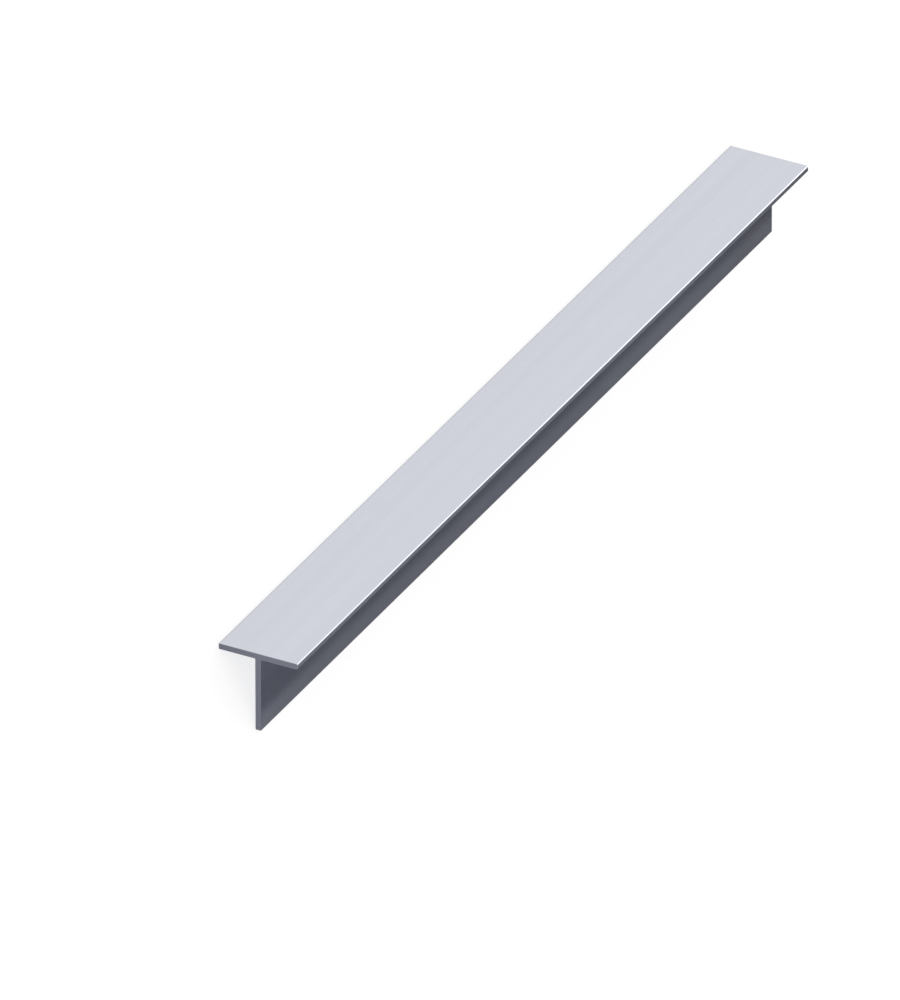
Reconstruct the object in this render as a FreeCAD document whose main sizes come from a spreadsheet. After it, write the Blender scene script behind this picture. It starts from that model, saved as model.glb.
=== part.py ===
# Aluminium T-profile: one straight extruded bar, sawn square at both ends.
# The section is drawn upright in XZ, flange on top and web pointing down, and the bar runs along Y.
# Upright it would topple, so the finished bar lies on a level floor at z = 0 as it comes to rest,
# on the web's foot and the flange's left edge. The origin is on the floor, under its middle.
import FreeCAD, Part
import math
import os

import Sketcher

# Driving sizes in millimetres: the name the section uses, the value and what it measures.
SIZES = [
    ("flange_width", 40, "across the flange"),
    ("profile_height", 40, "from the web's foot to the flange's face"),
    ("flange_wall", 3, "wall of the flange"),
    ("web_wall", 3, "wall of the web"),
    ("edge_radius", 0.5, "rounding of the six outer edges"),
    ("root_radius", 0.5, "fillet in the two inner corners"),
    ("bar_length", 500, "sawn length of the bar"),
]

# Two roundings share each toe, so a rounding takes less than half of the thinner wall.
EDGE = "min(sizes.edge_radius; 0.48 * sizes.flange_wall; 0.48 * sizes.web_wall)"
ROOT = "sizes.root_radius"

# The flange overhangs the web on either side.
OVERHANG = "(sizes.flange_width - sizes.web_wall) / 2"
# The line through the web's foot and the flange's left edge is level once the bar leans this far.
LEAN = f"atan((sizes.profile_height - sizes.flange_wall) / ({OVERHANG}))"
# How far the leaning section moves so that it stands on the floor, with its middle at x = 0.
LIFT = f"(sizes.web_wall / 2 - {EDGE}) * sin({LEAN}) + {EDGE} * (1 - cos({LEAN}))"
SHIFT = f"({OVERHANG} * cos({LEAN}) + sizes.profile_height * sin({LEAN})) / 2"

# Ends of a side or an arc, and the sketch's origin, as constraints name them.
START, END = 1, 2
ORIGIN = (-1, 1)


def make_sheet(doc):
    sheet = doc.addObject("Spreadsheet::Sheet", "sizes")
    for row, (name, value, meaning) in enumerate(SIZES, start=1):
        sheet.set(f"A{row}", meaning)
        sheet.set(f"B{row}", str(value))
        sheet.setAlias(f"B{row}", name)
    doc.recompute()
    return sheet


def section_corners(sheet):
    """The sharp corners, counter-clockwise: the side that leaves each one, its place and its radius."""
    flange = sheet.flange_width / 2
    web = sheet.web_wall / 2
    top = sheet.profile_height
    under = top - sheet.flange_wall
    edge = sheet.evalExpression(EDGE)
    root = sheet.evalExpression(ROOT)
    return [
        ("web_right", FreeCAD.Vector(web, 0), edge),
        ("under_right", FreeCAD.Vector(web, under), root),
        ("flange_right", FreeCAD.Vector(flange, under), edge),
        ("face", FreeCAD.Vector(flange, top), edge),
        ("flange_left", FreeCAD.Vector(-flange, top), edge),
        ("under_left", FreeCAD.Vector(-flange, under), edge),
        ("web_left", FreeCAD.Vector(-web, under), root),
        ("foot", FreeCAD.Vector(-web, 0), edge),
    ]


def draw_sides(sketch, corners):
    """One straight side from each corner to the next, short of both by their radii."""
    sides = {}
    headings = []
    for i, (name, corner, radius) in enumerate(corners):
        _, beyond, beyond_radius = corners[(i + 1) % len(corners)]
        heading = (beyond - corner).normalize()
        line = Part.LineSegment(corner + heading * radius, beyond - heading * beyond_radius)
        sides[name] = sketch.addGeometry(line)
        lie = "Vertical" if abs(heading.y) > abs(heading.x) else "Horizontal"
        sketch.addConstraint(Sketcher.Constraint(lie, sides[name]))
        headings.append(heading)
    return sides, headings


def draw_roundings(sketch, corners, sides, headings):
    """A quarter circle in each corner, tangent to both sides. Arcs run counter-clockwise, so in
    the two inner corners, where the outline turns right, an arc's ends change places."""
    edges, roots = [], []
    for i, (name, corner, radius) in enumerate(corners):
        before, after = headings[i - 1], headings[i]
        outer = before.cross(after).z > 0
        centre = corner + (after - before) * radius
        circle = Part.Circle(centre, FreeCAD.Vector(0, 0, 1), radius)
        angle = circle.parameter(centre + (-after if outer else before) * radius)
        arc = sketch.addGeometry(Part.ArcOfCircle(circle, angle, angle + math.pi / 2))
        first, last = (START, END) if outer else (END, START)
        previous = sides[corners[i - 1][0]]
        sketch.addConstraint(Sketcher.Constraint("Tangent", previous, END, arc, first))
        sketch.addConstraint(Sketcher.Constraint("Tangent", sides[name], START, arc, last))
        (edges if outer else roots).append(arc)
    return edges, roots


def bind(sketch, name, formula, kind, *places):
    """Adds a dimension that follows a formula of the sheet's sizes."""
    value = sketch.evalExpression(formula)
    number = sketch.addConstraint(Sketcher.Constraint(kind, *places, value))
    sketch.renameConstraint(number, name)
    sketch.setExpression(f"Constraints.{name}", formula)


def draw_section(body, sheet):
    """The T outline of eight straight sides and eight arcs, with every dimension from the sheet."""
    sketch = body.newObject("Sketcher::SketchObject", "section")
    plane = next(f for f in body.Origin.OriginFeatures if f.Role == "XZ_Plane")
    sketch.AttachmentSupport = (plane, "")
    sketch.MapMode = "FlatFace"

    corners = section_corners(sheet)
    sides, headings = draw_sides(sketch, corners)
    edges, roots = draw_roundings(sketch, corners, sides, headings)

    for arcs, name, formula in ((edges, "edge_radius", EDGE), (roots, "root_radius", ROOT)):
        bind(sketch, name, formula, "Radius", arcs[0])
        for arc in arcs[1:]:
            sketch.addConstraint(Sketcher.Constraint("Equal", arcs[0], arc))

    for part, size in (("flange", "sizes.flange_width"), ("web", "sizes.web_wall")):
        right, left = sides[f"{part}_right"], sides[f"{part}_left"]
        bind(sketch, f"{part}_right", f"{size} / 2", "DistanceX", *ORIGIN, right, START)
        bind(sketch, f"{part}_left", f"{size} / 2", "DistanceX", left, START, *ORIGIN)
    sketch.addConstraint(Sketcher.Constraint("PointOnObject", sides["foot"], START, ORIGIN[0]))
    bind(sketch, "height", "sizes.profile_height", "DistanceY", *ORIGIN, sides["face"], START)
    for under in ("under_right", "under_left"):
        bind(sketch, under, "sizes.flange_wall", "DistanceY", sides[under], START, sides["face"], START)
    return sketch


def lay_down(body):
    """Leans the bar to the left about its length, onto the floor."""
    to_the_left = FreeCAD.Vector(0, -1, 0)
    body.Placement = FreeCAD.Placement(FreeCAD.Vector(), FreeCAD.Rotation(to_the_left, 45))
    body.setExpression("Placement.Rotation.Angle", LEAN)
    body.setExpression("Placement.Base.x", SHIFT)
    body.setExpression("Placement.Base.z", LIFT)


def make_profile(doc, sheet):
    """The bar: its section pushed out by half the length to either side, then laid on the floor."""
    body = doc.addObject("PartDesign::Body", "t_profile")
    body.Label = "t_profile"
    sketch = draw_section(body, sheet)
    doc.recompute()
    if not sketch.FullyConstrained:
        raise RuntimeError("the section's sketch still has a free dimension")
    bar = body.newObject("PartDesign::Pad", "bar")
    bar.Profile = sketch
    bar.SideType = "Symmetric"
    bar.setExpression("Length", "sizes.bar_length")
    body.Tip = bar
    lay_down(body)
    return body


def check(doc, bodies):
    for item in doc.Objects:
        if "Invalid" in item.State or "Error" in item.State:
            raise RuntimeError(f"{item.Label} failed: {item.State}")
    for body in bodies:
        if body.Shape.isNull() or not body.Shape.isValid():
            raise RuntimeError(f"{body.Label} has no valid shape")


def main():
    doc = FreeCAD.newDocument("t_profile")
    sheet = make_sheet(doc)
    bodies = [make_profile(doc, sheet)]
    doc.recompute()
    check(doc, bodies)
    os.makedirs("parts", exist_ok=True)
    for body in bodies:
        body.Shape.exportStep(f"parts/{body.Label}.step")
        box = body.Shape.BoundBox
        print(body.Label, f"{box.XLength:.2f} x {box.YLength:.2f} x {box.ZLength:.2f} mm,",
              f"{body.Shape.Volume / 1000:.2f} cm3, {len(body.Shape.Faces)} faces")


main()
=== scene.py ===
import bpy
import numpy as np
from mathutils import Matrix, Vector


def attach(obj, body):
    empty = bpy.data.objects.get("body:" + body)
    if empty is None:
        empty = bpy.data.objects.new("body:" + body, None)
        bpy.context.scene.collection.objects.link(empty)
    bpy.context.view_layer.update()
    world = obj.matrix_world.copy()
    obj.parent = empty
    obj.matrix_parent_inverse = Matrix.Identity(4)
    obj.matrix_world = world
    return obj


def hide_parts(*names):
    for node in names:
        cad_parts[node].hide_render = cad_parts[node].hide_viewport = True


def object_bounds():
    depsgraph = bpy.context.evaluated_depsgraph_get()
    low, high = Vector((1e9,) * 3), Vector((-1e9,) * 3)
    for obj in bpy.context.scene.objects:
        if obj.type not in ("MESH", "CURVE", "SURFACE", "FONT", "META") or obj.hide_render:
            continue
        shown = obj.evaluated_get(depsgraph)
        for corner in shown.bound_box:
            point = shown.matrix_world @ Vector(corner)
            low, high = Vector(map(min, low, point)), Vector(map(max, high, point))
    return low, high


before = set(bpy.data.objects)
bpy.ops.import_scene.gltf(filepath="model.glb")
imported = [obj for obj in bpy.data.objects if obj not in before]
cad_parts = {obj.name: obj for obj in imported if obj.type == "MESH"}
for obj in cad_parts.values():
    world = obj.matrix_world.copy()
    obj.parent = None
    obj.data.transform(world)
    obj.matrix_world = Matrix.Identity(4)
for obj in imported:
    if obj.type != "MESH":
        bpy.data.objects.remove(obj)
cadLow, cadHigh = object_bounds()
scene = bpy.context.scene
mm = 0.001
print("frame loaded")


def linearColour(hexCode):
    # sRGB to linear: ((c + 0.055) / 1.055) to the power 2.4, and c / 12.92 where c is very dark
    c = np.array([int(hexCode[i:i + 2], 16) for i in (1, 3, 5)]) / 255
    linear = np.where(c <= 0.04045, c / 12.92, ((c + 0.055) / 1.055) ** 2.4)
    return (*linear.tolist(), 1.0)


def addNode(tree, kind, inputs=(), **settings):
    # One node with its settings. An input goes by its name, or by its number where names repeat, and
    # takes a plain value or the socket that feeds it.
    node = tree.nodes.new("ShaderNode" + kind)
    for name, value in settings.items():
        setattr(node, name, value)
    for name, value in dict(inputs).items():
        if isinstance(value, bpy.types.NodeSocket):
            tree.links.new(value, node.inputs[name])
        else:
            node.inputs[name].default_value = value
    return node


def newMaterial(name):
    material = bpy.data.materials.new(name)
    material.use_nodes = True
    material.node_tree.nodes.clear()
    return material, material.node_tree


# The bar

bar = {
    "flangeWidth": 40 * mm,
    "profileHeight": 40 * mm,
    "flangeWall": 3 * mm,
    "webWall": 3 * mm,
    "edgeRadius": 0.5 * mm,
    "rootRadius": 0.5 * mm,
    "length": cadHigh.y - cadLow.y,
    "sawnEdge": 0.15 * mm,  # the saw's burr is rubbed off, which leaves the ends' edges this round
    "arcSteps": 10,
    "sawnEdgeSteps": 4,
    "stationGap": 10 * mm,
}


def sectionOutline(b):
    # The T's eight corners, anticlockwise, each with a quarter arc, and straight lines from arc to arc.
    # An arc's centre is corner + r * (way out - way in), and its points are centre + r * (cos a, sin a),
    # with a running evenly over the quarter turn.
    flange, web, top = b["flangeWidth"] / 2, b["webWall"] / 2, b["profileHeight"]
    under = top - b["flangeWall"]
    corner = np.array([(web, 0), (web, under), (flange, under), (flange, top),
                       (-flange, top), (-flange, under), (-web, under), (-web, 0)])
    wayOut = np.roll(corner, -1, axis=0) - corner
    wayOut /= np.linalg.norm(wayOut, axis=1, keepdims=True)
    wayIn = np.roll(wayOut, 1, axis=0)
    turn = wayIn[:, 0] * wayOut[:, 1] - wayIn[:, 1] * wayOut[:, 0]  # 1 at the edges, -1 in the two roots
    radius = np.where(turn > 0, b["edgeRadius"], b["rootRadius"])

    centre = corner + radius[:, None] * (wayOut - wayIn)
    start = np.arctan2(-wayIn[:, 0] * turn, wayIn[:, 1] * turn)
    share = np.linspace(0, 1, b["arcSteps"] + 1)
    angle = start[:, None] + turn[:, None] * share * np.pi / 2
    spoke = np.stack([np.cos(angle), np.sin(angle)], axis=2)
    arcs = centre[:, None] + radius[:, None, None] * spoke
    outward = spoke * turn[:, None, None]
    return arcs.reshape(-1, 2), outward.reshape(-1, 2)


def layDown(b, across, up):
    # Turned to the left by the angle whose tangent is web height over flange overhang, which sets the
    # web's foot and the flange's left edge level, as the bar comes to rest.
    overhang = (b["flangeWidth"] - b["webWall"]) / 2
    lean = np.arctan2(b["profileHeight"] - b["flangeWall"], overhang)
    return across * np.cos(lean) - up * np.sin(lean), across * np.sin(lean) + up * np.cos(lean)


def sweepBar(b):
    # The outline carried along Y. At each end it draws in by r * (1 - cos a) while Y runs on by
    # r * sin a, which rounds the sawn edge, and one flat face closes the end.
    outline, outward = sectionOutline(b)
    straight = b["length"] / 2 - b["sawnEdge"]
    angle = np.linspace(0, np.pi / 2, b["sawnEdgeSteps"] + 1)[1:]
    body = np.linspace(-straight, straight, round(b["length"] / b["stationGap"]) + 1)
    tip = straight + b["sawnEdge"] * np.sin(angle)
    drawnIn = b["sawnEdge"] * (1 - np.cos(angle))
    y = np.concatenate([-tip[::-1], body, tip])[:, None]
    inset = np.concatenate([drawnIn[::-1], 0 * body, drawnIn])[:, None, None]
    lengthwise = np.concatenate([-np.sin(angle[::-1]), 0 * body, np.sin(angle)])[:, None]

    x, z = layDown(b, *np.moveaxis(outline - inset * outward, 2, 0))
    nx, nz = layDown(b, *(np.sqrt(1 - lengthwise ** 2) * outward.T[:, None]))
    points = np.stack([x - (x.min() + x.max()) / 2, y + 0 * x, z - z.min()], axis=2)
    normals = np.stack([nx, lengthwise + 0 * nx, nz], axis=2)

    rings = np.arange(x.size).reshape(x.shape)
    beside = np.roll(rings, -1, axis=1)
    quads = np.stack([rings[:-1], rings[1:], beside[1:], beside[:-1]], axis=2).reshape(-1, 4)
    ends = [rings[0].tolist(), rings[-1, ::-1].tolist()]
    return points.reshape(-1, 3), normals.reshape(-1, 3), quads.tolist() + ends


def makeBar(b):
    points, normals, faces = sweepBar(b)
    mesh = bpy.data.meshes.new("tProfileBar")
    mesh.from_pydata(points, [], faces)
    mesh.materials.append(millFinishAluminium(millFinish))
    mesh.materials.append(sawnAluminium(sawnEnd))
    surface = np.zeros(len(faces), dtype=np.int32)
    surface[-2:] = 1  # the two end faces
    mesh.polygons.foreach_set("material_index", surface)
    mesh.polygons.foreach_set("use_smooth", np.ones(len(faces), dtype=bool))
    mesh.normals_split_custom_set_from_vertices(normals)  # so that flats stay flat up to their roundings
    piece = bpy.data.objects.new("tProfileBar", mesh)
    scene.collection.objects.link(piece)
    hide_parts("t_profile")
    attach(piece, "root")
    print("bar made,", len(faces), "faces")


# The bar's two surfaces

noiseRange = {"From Min": 0.3, "From Max": 0.7}  # nearly all of a noise pattern's values lie here
millFinish = {
    "colour": "#CFD1DA",
    "streakColour": "#C8CAD3",
    "roughness": (0.18, 0.26),
    "dieLineMm": 1.0,  # real ones lie about 0.1 mm apart, too fine to show
    "bandMm": 7.0,
    "bandShare": 0.5,  # of the change in colour; the die lines give the rest
    "runMm": 4000.0,  # many times the bar's length, so that no line begins or ends on it
    "noiseDetail": 2.0,
    "dieLineDepthMm": 0.006,
    "anisotropy": 0.3,
}


def millFinishAluminium(m):
    # EN AW-6060, extruded and left as it comes from the die: a dull silver with a cool cast, smooth
    # across, with faint straight lines and paler bands that run the whole length of the bar.
    material, tree = newMaterial("millFinishAluminium")
    place = addNode(tree, "TexCoord").outputs["Object"]
    patterns = []
    for spacingMm in (m["dieLineMm"], m["bandMm"]):
        scale = [1 / (s * mm) for s in (spacingMm, m["runMm"], spacingMm)]
        stretched = addNode(tree, "Mapping", {"Vector": place, "Scale": scale}).outputs[0]
        noise = addNode(tree, "TexNoise", {"Vector": stretched, "Scale": 1.0, "Detail": m["noiseDetail"]})
        patterns.append(noise.outputs[0])
    lines, bands = patterns
    both = addNode(tree, "Mix", {0: m["bandShare"], 2: lines, 3: bands}).outputs[0]
    mixed = addNode(tree, "MapRange", {"Value": both, **noiseRange}).outputs[0]
    colour = addNode(tree, "Mix", {0: mixed, 6: linearColour(m["streakColour"]),
                                   7: linearColour(m["colour"])}, data_type="RGBA").outputs[2]
    rough = addNode(tree, "MapRange", {"Value": lines, **noiseRange, "To Min": m["roughness"][0],
                                       "To Max": m["roughness"][1]}).outputs[0]
    bump = addNode(tree, "Bump", {"Height": lines, "Distance": m["dieLineDepthMm"] * mm}).outputs[0]
    around = addNode(tree, "Tangent", direction_type="RADIAL", axis="Y").outputs[0]
    metal = addNode(tree, "BsdfPrincipled", {"Base Color": colour, "Metallic": 1.0, "Roughness": rough,
                                             "Normal": bump, "Tangent": around,
                                             "Anisotropic": m["anisotropy"]})
    addNode(tree, "OutputMaterial", {"Surface": metal.outputs[0]})
    return material


sawnEnd = {
    # a shade darker than the mill finish: partly the rougher cut, partly painted shade
    "colour": "#BCBEC6",
    "markColour": "#ADAFB7",
    "roughness": (0.38, 0.46),
    "bladeRadiusMm": 175.0,
    "markMm": 1.2,  # tooth marks are about 0.3 mm apart, too fine to show
    "markDepthMm": 0.01,
    "markDistortion": 1.5,
    "markDetail": 2.0,
    "grainMm": 1.1,  # the torn grain between the marks is about 0.1 mm, also too fine to show
    "grainDetail": 3.0,
}


def sawnAluminium(s):
    # The same alloy where a circular saw cut it: bare and bright but rougher, with the blade's shallow
    # arcs across it. Its colour is a shade darker than the extruded faces', partly for the rough cut and
    # partly as painted shade.
    material, tree = newMaterial("sawnAluminium")
    place = addNode(tree, "TexCoord").outputs["Object"]
    hub = (-s["bladeRadiusMm"] * mm, 0, 0)  # the blade came from the left, just above the floor
    fromHub = addNode(tree, "Mapping", {"Vector": place, "Location": [-v for v in hub]}).outputs[0]
    scale = 2 * np.pi / 20 / (s["markMm"] * mm)  # rings of scale 1 lie 2 pi / 20 apart
    arcs = addNode(tree, "TexWave", {"Vector": fromHub, "Scale": scale, "Detail": s["markDetail"],
                                     "Distortion": s["markDistortion"]},
                   wave_type="RINGS", rings_direction="Y").outputs[1]
    grain = addNode(tree, "TexNoise", {"Vector": place, "Scale": 1 / (s["grainMm"] * mm),
                                       "Detail": s["grainDetail"]}).outputs[0]
    marks = addNode(tree, "Math", {0: arcs, 1: grain}, operation="MULTIPLY").outputs[0]
    colour = addNode(tree, "Mix", {0: marks, 6: linearColour(s["markColour"]),
                                   7: linearColour(s["colour"])}, data_type="RGBA").outputs[2]
    rough = addNode(tree, "MapRange", {"Value": grain, **noiseRange, "To Min": s["roughness"][0],
                                       "To Max": s["roughness"][1]}).outputs[0]
    bump = addNode(tree, "Bump", {"Height": marks, "Distance": s["markDepthMm"] * mm}).outputs[0]
    metal = addNode(tree, "BsdfPrincipled", {"Base Color": colour, "Metallic": 1.0, "Roughness": rough,
                                             "Normal": bump})
    addNode(tree, "OutputMaterial", {"Surface": metal.outputs[0]})
    return material


makeBar(bar)


# Floor, world, cards and lamps

studio = {
    "floorHalf": 20,
    "floorColour": "#9C9C9C",
    "glowColour": "#FFFFFF",
    "floorGlow": 0.735,  # added where the floor is seen, on top of the light that it gets
    "worldGlow": 0.8,  # for the light that falls on things; where the world is seen it is white
}
lamps = {  # a glow of 1 is seen as white, and takes pi watts a square metre
    "softboxBehind": {"place": (0.0, 4.1, 2.2), "size": (7.5, 2.5), "glow": 0.9},
    "softboxFront": {"place": (-0.8, -1.3, 1.3), "size": (1.2, 1.2), "glow": 0.4},
}
# Three upright cards stand beside the web, one above the other, as painted shade that only the metal's
# reflections show: the middle one paints the web's shade, the top one gives the flange's edge its grey,
# and the low one the paler foot, where the shade is less. Strips on the floor paint thin dark reflections
# of shade along both long edges, and a card on the floor in front paints shade on the sawn end.
cards = {
    "cardTop": {"from": (0.030, -0.6, 0.036), "to": (0.030, 1.2, 0.056), "grey": "#9A9CA4"},
    "cardMiddle": {"from": (0.030, -0.6, 0.010), "to": (0.030, 1.2, 0.036), "grey": "#80828D"},
    "cardLow": {"from": (0.030, -0.6, 0.0), "to": (0.030, 1.2, 0.010), "grey": "#B6B7BD"},
    "cardByFoot": {"from": (0.0232, -0.6, 0.0001), "to": (0.030, 1.2, 0.0001), "grey": "#6C6E74"},
    "cardByEdge": {"from": (-0.0242, -0.6, 0.0001), "to": (-0.0226, 1.2, 0.0001), "grey": "#74767C"},
    "cardInFront": {"from": (-0.15, -0.60, 0.0001), "to": (0.25, -0.2501, 0.0001), "grey": "#B6B8C1"},
}
# Beside the bar the cards stand in its shade. Where it ends they get more light, so they are painted
# darker by degrees along Y, and the web stays even up to its far end.
cardShare = {"From Min": 0.16, "From Max": 0.31, "To Min": 1.0, "To Max": 0.5}


def seenDirectly(tree):
    # 1 for rays from the camera, a mirror or glass, and 0 for rays that only carry light
    path = addNode(tree, "LightPath").outputs
    seen = path["Is Camera Ray"]
    for kind in ("Is Glossy Ray", "Is Transmission Ray"):
        seen = addNode(tree, "Math", {0: seen, 1: path[kind]}, operation="MAXIMUM").outputs[0]
    return seen


def addSheet(name, corners, material):
    mesh = bpy.data.meshes.new(name)
    mesh.from_pydata(corners, [], [(0, 1, 2, 3)])
    mesh.materials.append(material)
    sheet = bpy.data.objects.new(name, mesh)
    scene.collection.objects.link(sheet)
    return sheet


def makeFloor(s):
    material, tree = newMaterial("whiteStudioFloor")
    material.cycles.emission_sampling = "NONE"  # so that its glow reaches only what sees it
    glow = addNode(tree, "Math", {0: seenDirectly(tree), 1: s["floorGlow"]}, operation="MULTIPLY")
    paint = addNode(tree, "BsdfPrincipled", {"Base Color": linearColour(s["floorColour"]),
                                             "Roughness": 1.0, "Specular IOR Level": 0.0,
                                             "Emission Color": linearColour(s["glowColour"]),
                                             "Emission Strength": glow.outputs[0]})
    addNode(tree, "OutputMaterial", {"Surface": paint.outputs[0]})
    h = s["floorHalf"]
    addSheet("studioFloor", [(-h, -h, 0), (h, -h, 0), (h, h, 0), (-h, h, 0)], material)


def makeWorld(s):
    world = bpy.data.worlds.new("whiteStudio")
    scene.world = world
    world.use_nodes = True
    world.cycles.sampling_method = "NONE"  # its light depends on the ray, so rays find it by themselves
    tree = world.node_tree
    tree.nodes.clear()
    strength = addNode(tree, "MapRange", {"Value": seenDirectly(tree), "To Min": s["worldGlow"]})
    sky = addNode(tree, "Background", {"Color": linearColour(s["glowColour"]),
                                       "Strength": strength.outputs[0]})
    addNode(tree, "OutputWorld", {"Surface": sky.outputs[0]})


def makeCards(cardByName):
    # matt grey cards that only the metal sees: painted shade in its reflections, which darkens its sides
    for name, c in cardByName.items():
        material, tree = newMaterial(name)
        place = addNode(tree, "TexCoord").outputs["Object"]
        along = addNode(tree, "SeparateXYZ", {"Vector": place}).outputs["Y"]
        share = addNode(tree, "MapRange", {"Value": along, **cardShare}, interpolation_type="SMOOTHSTEP")
        grey = addNode(tree, "VectorMath", {0: linearColour(c["grey"])[:3], "Scale": share.outputs[0]},
                       operation="SCALE").outputs[0]
        paint = addNode(tree, "BsdfPrincipled", {"Base Color": grey, "Roughness": 1.0,
                                                 "Specular IOR Level": 0.0})
        addNode(tree, "OutputMaterial", {"Surface": paint.outputs[0]})
        (x0, y0, z0), (x1, y1, z1) = c["from"], c["to"]
        card = addSheet(name, [(x0, y0, z0), (x1, y0, z1), (x1, y1, z1), (x0, y1, z0)], material)
        card.visible_camera = False
        card.visible_diffuse = False
        card.visible_shadow = False


def makeLamps(lampByName):
    for name, lamp in lampByName.items():
        light = bpy.data.lights.new(name, "AREA")
        light.shape = "RECTANGLE"
        light.size, light.size_y = lamp["size"]
        light.energy = lamp["glow"] * np.pi * light.size * light.size_y
        lampObject = bpy.data.objects.new(name, light)
        scene.collection.objects.link(lampObject)
        lampObject.location = lamp["place"]
        lampObject.rotation_euler = Vector(lamp["place"]).to_track_quat("Z", "Y").to_euler()
        lampObject.visible_camera = False


makeFloor(studio)
makeWorld(studio)
makeCards(cards)
makeLamps(lamps)
print("studio lit")


# The camera

camera = {
    "azimuth": -20.05,  # 0 looks along +Y
    "elevation": 35.86,
    "roll": 77.63,  # the picture has the bar's flange on top, and here the bar lies on its side
    "lensMm": 1400,  # the picture's long edges are parallel
    "target": (0.0072, -0.0502, 0),
    "distance": 17.58,
}


def makeCamera(c):
    # back points from the target to the camera, and the roll turns right and up about it
    azimuth, elevation, roll = np.radians([c["azimuth"], c["elevation"], c["roll"]])
    back = Vector((np.sin(azimuth) * np.cos(elevation), -np.cos(azimuth) * np.cos(elevation),
                   np.sin(elevation)))
    right = Vector((np.cos(azimuth), np.sin(azimuth), 0))
    up = back.cross(right)
    turned = (right * np.cos(roll) + up * np.sin(roll), up * np.cos(roll) - right * np.sin(roll), back)
    data = bpy.data.cameras.new("camera")
    data.lens = c["lensMm"]
    view = bpy.data.objects.new("camera", data)
    scene.collection.objects.link(view)
    place = Vector(c["target"]) + back * c["distance"]
    view.matrix_world = Matrix.Translation(place) @ Matrix(turned).transposed().to_4x4()
    scene.camera = view


makeCamera(camera)
scene.view_settings.view_transform = "Standard"
print("camera set")
